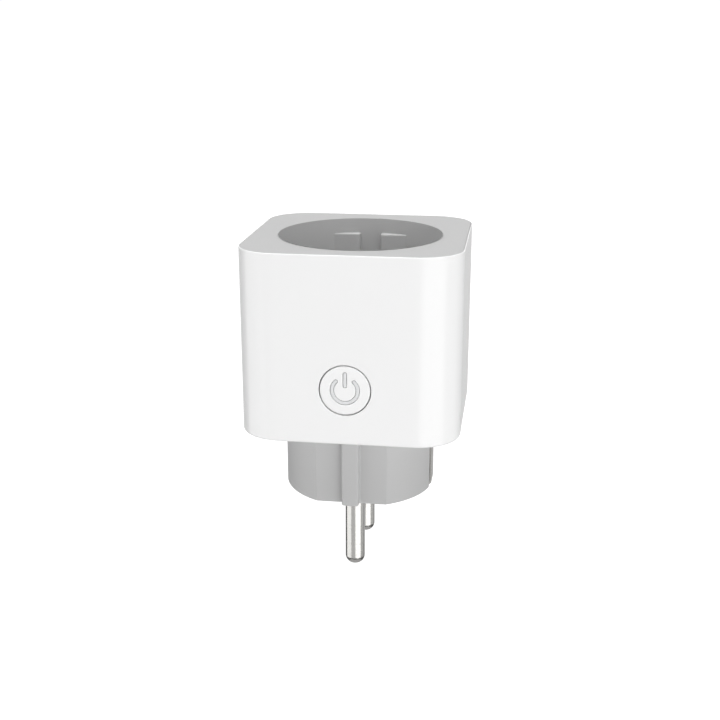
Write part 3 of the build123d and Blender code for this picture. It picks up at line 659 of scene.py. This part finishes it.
class SMARTPLUG_OT_base(bpy.types.Operator):
    """Build the grey plug base with its flats, ribs, side grooves and flange"""

    bl_idname = "smartplug.base"
    bl_label = "Plug Base"

    def execute(self, context):
        s = context.scene.plug_sizes
        groove_half, pocket_half = 4.5 * MM, 2.5 * MM
        strip_rise = 0.75 * MM
        groove_x = STRIP_HIGH.x - strip_rise
        foot, groove_top = 1.0 * MM, 15.5 * MM
        past_groove, past_strip, flange_gap = 0.35 * MM, 0.05 * MM, 0.3 * MM
        with_pocket = base_outline(s, groove_x, groove_half, STRIP_LOW.x, pocket_half)
        with_groove = base_outline(s, groove_x, groove_half, groove_x, pocket_half)
        in_groove = np.abs(with_groove[:, 1]) < groove_half + past_groove
        round_side = np.sqrt(s.base**2 - np.minimum(np.abs(with_groove[:, 1]), s.base) ** 2)
        full = with_groove.copy()
        full[in_groove, 0] = (np.sign(with_groove[:, 0]) * round_side)[in_groove]

        edge = 0.5 * MM
        edge_in, edge_up = roll(edge, 7)
        at_earth = np.abs(with_pocket[:, 1]) < groove_half + past_strip
        rings = [
            ring(inset(with_pocket, np.where(at_earth, 0, i)), np.where(at_earth, 0, u))
            for i, u in zip(edge_in[::-1], edge_up[::-1])
        ]
        rings.append(ring(with_pocket, foot))
        rings += [ring(with_groove, foot), ring(with_groove, groove_top), ring(full, groove_top)]
        base_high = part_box("plug_base")[1]
        flange_low, flange_high = SLEEVE_LOW.z + s.floor, base_high.z
        rings.append(ring(full, flange_low))
        spokes = np.arctan2(full[:, 1], full[:, 0])
        flange_corner = s.corner - s.wall - flange_gap
        rings += [rounded_square(base_high.x, flange_corner, z, spokes) for z in (flange_low, flange_high)]
        surfaces = [loft(rings), plate(rings[-1])]

        # plug face: a small round lead-in at each pin's shank, and the well of the earth tube
        hole_spokes = np.linspace(0, TURN, 64, endpoint=False)
        pin_y = MOUNTS["neutral_pin"]["pos_m"][1]
        pin_well = (PIN_SHANK, 0.05 * MM, 0.4 * MM)
        tube_x = MOUNTS["earth_pin_hole"]["pos_m"][0]
        tube_well = (3.05 * MM, 0.2 * MM, 17.0 * MM)
        wells = []
        for centre, (radius, lead_in, depth) in (
            ((0, -pin_y), pin_well), ((0, pin_y), pin_well), ((tube_x, 0), tube_well),
        ):
            well = [
                circle(radius + lead_in, 0, hole_spokes, centre),
                circle(radius, lead_in, hole_spokes, centre),
                circle(radius, depth, hole_spokes, centre),
            ]
            surfaces += [loft(well), plate(well[-1])]
            wells.append(well[0])
        surfaces.append(plate(rings[0], *wells))
        new_piece("plug_base_shell", surfaces, finish_of("matt grey ABS"), "housing",
                  ["plug_base"])
        return {"FINISHED"}


class SMARTPLUG_OT_pins(bpy.types.Operator):
    """Build the two round-tipped plug pins"""

    bl_idname = "smartplug.pins"
    bl_label = "Plug Pins"

    def execute(self, context):
        spokes = np.linspace(0, TURN, 96, endpoint=False)
        radius = MOUNTS["live_pin"]["dims"]["r_mm"] * MM
        tip_flat, neck = 0.3 * MM, 1.0 * MM
        tip_in, tip_up = roll(radius - tip_flat, 14)
        shank, collar, tail = PIN_SHANK, 3.2 * MM, 1.2 * MM
        collar_low, collar_high, shank_top = 9.0 * MM, 11.0 * MM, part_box("plug_base")[1].z - neck
        for node in ("plug_pin_live", "plug_pin_neutral"):
            low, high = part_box(node)
            centre = (0, (low.y + high.y) / 2)
            section = [(radius - i, low.z + u) for i, u in zip(tip_in[::-1], tip_up[::-1])]
            section += [
                (radius, 0), (shank, 0), (shank, collar_low), (collar, collar_low), (collar, collar_high),
                (shank, collar_high), (shank, shank_top), (tail, shank_top), (tail, high.z),
            ]
            rings = [circle(r, z, spokes, centre) for r, z in section]
            surfaces = [loft(rings), plate(rings[0]), plate(rings[-1])]
            new_piece(f"{node}_turned", surfaces, finish_of("nickel plate"), "housing", [node])
        return {"FINISHED"}


def symbol_outlines(s, grow):
    """The power symbol's two outlines round the origin, grown by grow: an open arc with round ends, and an
    upright bar with round ends."""
    half = s.stroke / 2 + grow
    opening = round(degrees(s.opening), 3)
    start, end = 90 + opening, 450 - opening
    tips = [s.symbol * np.array([cos(radians(a)), sin(radians(a))]) for a in (start, end)]
    ring_part = np.concatenate([
        arc((0, 0), s.symbol + half, start, end, 64),
        arc(tips[1], half, end, end + 180, 12)[1:-1],
        arc((0, 0), s.symbol - half, end, start, 64),
        arc(tips[0], half, start + 180, start + 360, 12)[1:-1],
    ])
    bar_low, bar_high = s.bar_low + s.stroke / 2, s.bar_high - s.stroke / 2
    bar = np.concatenate([arc((0, bar_high), half, 0, 180, 14), arc((0, bar_low), half, 180, 360, 14)])
    return ring_part, bar


class SMARTPLUG_OT_button(bpy.types.Operator):
    """Build the power button's cap and the power symbol set into it"""

    bl_idname = "smartplug.button"
    bl_label = "Power Button"

    def execute(self, context):
        s = context.scene.plug_sizes
        spokes = np.linspace(0, TURN, 128, endpoint=False)
        centre = (0, (CAP_LOW.z + CAP_HIGH.z) / 2)
        front, back = -CAP_LOW.y, -CAP_HIGH.y
        inner_wall = SLEEVE_HIGH.x - s.wall
        flange_width, flange_gap, flange_thickness = 1 * MM, 0.15 * MM, 0.7 * MM
        flange, flange_front = s.button + flange_width, inner_wall - flange_gap
        flange_back = flange_front - flange_thickness
        cap_edge, stem = 0.25 * MM, 1.3 * MM
        edge_in, edge_back = roll(cap_edge, 7)
        section = [(s.button - i, front - b) for i, b in zip(edge_in[::-1], edge_back[::-1])]
        section += [
            (s.button, flange_front), (flange, flange_front), (flange, flange_back),
            (stem, flange_back), (stem, back),
        ]
        rings = [circle(r, h, spokes, centre) for r, h in section]
        surfaces = [loft(rings), plate(rings[-1])]

        # the symbol's pocket, with a softened edge, cut into the front
        pocket_gap, pocket_depth, soft = 0.11 * MM, 1.0 * MM, 0.06 * MM
        pocket_floor = front - pocket_depth
        mouths = []
        for wide, narrow in zip(symbol_outlines(s, pocket_gap + soft), symbol_outlines(s, pocket_gap)):
            pocket = [ring(wide + centre, front), ring(narrow + centre, front - soft)]
            pocket.append(ring(narrow + centre, pocket_floor))
            surfaces += [loft(pocket), plate(pocket[-1])]
            mouths.append(pocket[0])
        surfaces.append(plate(rings[0], *mouths))
        surfaces = [(towards_front(points), faces) for points, faces in surfaces]
        new_piece("power_button_cap", surfaces, finish_of("button white ABS"), "button",
                  ["button_cap"])

        inlay = []
        inlay_front = -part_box("button_symbol")[0].y
        for wide, narrow in zip(symbol_outlines(s, 0), symbol_outlines(s, -soft)):
            stack = [
                ring(narrow + centre, inlay_front), ring(wide + centre, inlay_front - soft),
                ring(wide + centre, pocket_floor),
            ]
            inlay += [loft(stack), plate(stack[0]), plate(stack[-1])]
        inlay = [(towards_front(points), faces) for points, faces in inlay]
        new_piece("power_symbol_inlay", inlay, finish_of("frosted acrylic"), "button",
                  ["button_symbol"])
        return {"FINISHED"}


class SMARTPLUG_OT_inner_parts(bpy.types.Operator):
    """Give the contacts, screws, shutter, boards and components their finishes"""

    bl_idname = "smartplug.inner_parts"
    bl_label = "Inner Parts"

    def execute(self, context):
        for node, finish in INNER_FINISHES.items():
            paint_node(node, finish_of(finish))
        return {"FINISHED"}


class SMARTPLUG_OT_stage(bpy.types.Operator):
    """Lay the pale floor, hang the soft lights and place the camera"""

    bl_idname = "smartplug.stage"
    bl_label = "Studio"

    def execute(self, context):
        scene = context.scene
        studio = scene.plug_studio
        floor_mesh = bpy.data.meshes.new("studio_floor")
        level = CAD_BOX[0][2] - FLOOR_GAP
        spokes = np.linspace(0, TURN, 96, endpoint=False)
        # a flat floor that turns up into a wall: (radius, rise) in metres
        profile = ((0.5, 0), (3, 0), (4, 0.3), (4.5, 3))
        dish = [circle(radius, level + rise, spokes) for radius, rise in profile]
        points, quads = loft(dish)
        floor_mesh.from_pydata(points, [], [*quads.tolist(), tuple(range(len(spokes)))])
        floor = bpy.data.objects.new("studio_floor", floor_mesh)
        scene.collection.objects.link(floor)
        material, _, shader, _ = new_finish("pale studio floor", **{"Roughness": 0.9})
        shader.inputs["Base Color"].default_value = linear(scene.plug_colours.floor)
        shader.inputs["Emission Color"].default_value = (1, 1, 1, 1)
        shader.inputs["Emission Strength"].default_value = 1.0
        floor_mesh.materials.append(material)
        # the floor is only seen: the soft panels and the studio air reach past it and light the undersides
        floor.visible_diffuse = floor.visible_glossy = floor.visible_shadow = False

        world = bpy.data.worlds.new("studio_air")
        world.use_nodes = True
        background = world.node_tree.nodes["Background"]
        background.inputs["Color"].default_value = (1, 1, 1, 1)
        background.inputs["Strength"].default_value = AIR_GLOW
        scene.world = world

        # soft panels all round: (name, azimuth from the button face, elevation, distance, width, height,
        # watts), with angles in degrees and lengths in metres. The upright ones reach below the horizon,
        # where walls seen from above mirror them
        lights = (
            ("right_panel", 43.5, -8, 0.9, 1.10, 0.96, 6.7),
            ("left_panel", -74, -8, 0.9, 1.04, 0.96, 4.5),
            ("front_panel", -16, -10, 0.9, 0.95, 0.96, 1.75),
            ("side_panel", 100, -5, 0.9, 0.60, 0.90, 1.1),
            ("back_panel", 170, -8, 0.9, 2.40, 0.96, 3.0),
            ("top_panel", 0, 87, 0.9, 0.80, 0.80, 9.4),
            ("high_front_panel", 5, 50, 0.9, 0.70, 0.50, 0.4),
            ("under_panel", 0, -88, 0.9, 1.20, 1.20, 2.0),
        )
        middle = Vector((AIM_X, 0, studio.target))
        for name, azimuth, elevation, distance, width, height, watts in lights:
            lamp = bpy.data.lights.new(name, "AREA")
            lamp.shape, lamp.size, lamp.size_y, lamp.energy = "RECTANGLE", width, height, watts
            light = bpy.data.objects.new(name, lamp)
            scene.collection.objects.link(light)
            light.visible_camera = False
            place_round(light, middle, radians(azimuth), radians(elevation), distance)

        lens = bpy.data.cameras.new("camera")
        lens.lens, lens.sensor_width = studio.lens, 36
        lens.clip_start, lens.clip_end = 0.01, 50
        camera = bpy.data.objects.new("camera", lens)
        scene.collection.objects.link(camera)
        place_round(camera, middle, studio.azimuth, studio.elevation, studio.distance)
        scene.camera = camera
        scene.view_settings.view_transform = "Standard"
        return {"FINISHED"}


def place_round(thing, middle, azimuth, elevation, distance):
    """Stands a light or camera at a distance from middle, turned to look at it."""
    back = Vector((sin(azimuth) * cos(elevation), -cos(azimuth) * cos(elevation), sin(elevation)))
    thing.location = middle + back * distance
    thing.rotation_euler = (np.pi / 2 - elevation, 0, azimuth)


class SMARTPLUG_PT_panel(bpy.types.Panel):
    """Lists the smart plug's pieces in the order they are built"""

    bl_idname = "SMARTPLUG_PT_panel"
    bl_label = "Smart Plug"
    bl_space_type = "VIEW_3D"
    bl_region_type = "UI"
    bl_category = "Smart Plug"

    def draw(self, context):
        column = self.layout.column(align=True)
        for step in STEPS:
            column.operator(step.bl_idname)


STEPS = (
    SMARTPLUG_OT_stage,
    SMARTPLUG_OT_sleeve,
    SMARTPLUG_OT_cover,
    SMARTPLUG_OT_base,
    SMARTPLUG_OT_pins,
    SMARTPLUG_OT_button,
    SMARTPLUG_OT_inner_parts,
)
GROUPS = {"plug_sizes": PlugSizes, "plug_colours": PlugColours, "plug_studio": StudioSetup}


def register():
    """Registers the settings, the operators and the panel."""
    for group in GROUPS.values():
        bpy.utils.register_class(group)
    for scene_name, group in GROUPS.items():
        setattr(bpy.types.Scene, scene_name, bpy.props.PointerProperty(type=group))
    for step in (*STEPS, SMARTPLUG_PT_panel):
        bpy.utils.register_class(step)


def unregister():
    """Takes back what register() did."""
    for step in (SMARTPLUG_PT_panel, *reversed(STEPS)):
        bpy.utils.unregister_class(step)
    for scene_name, group in GROUPS.items():
        delattr(bpy.types.Scene, scene_name)
        bpy.utils.unregister_class(group)


def main():
    """Builds the studio and every piece in order."""
    register()
    for step in STEPS:
        family, _, name = step.bl_idname.partition(".")
        getattr(getattr(bpy.ops, family), name)()


if __name__ == "__main__":
    main()
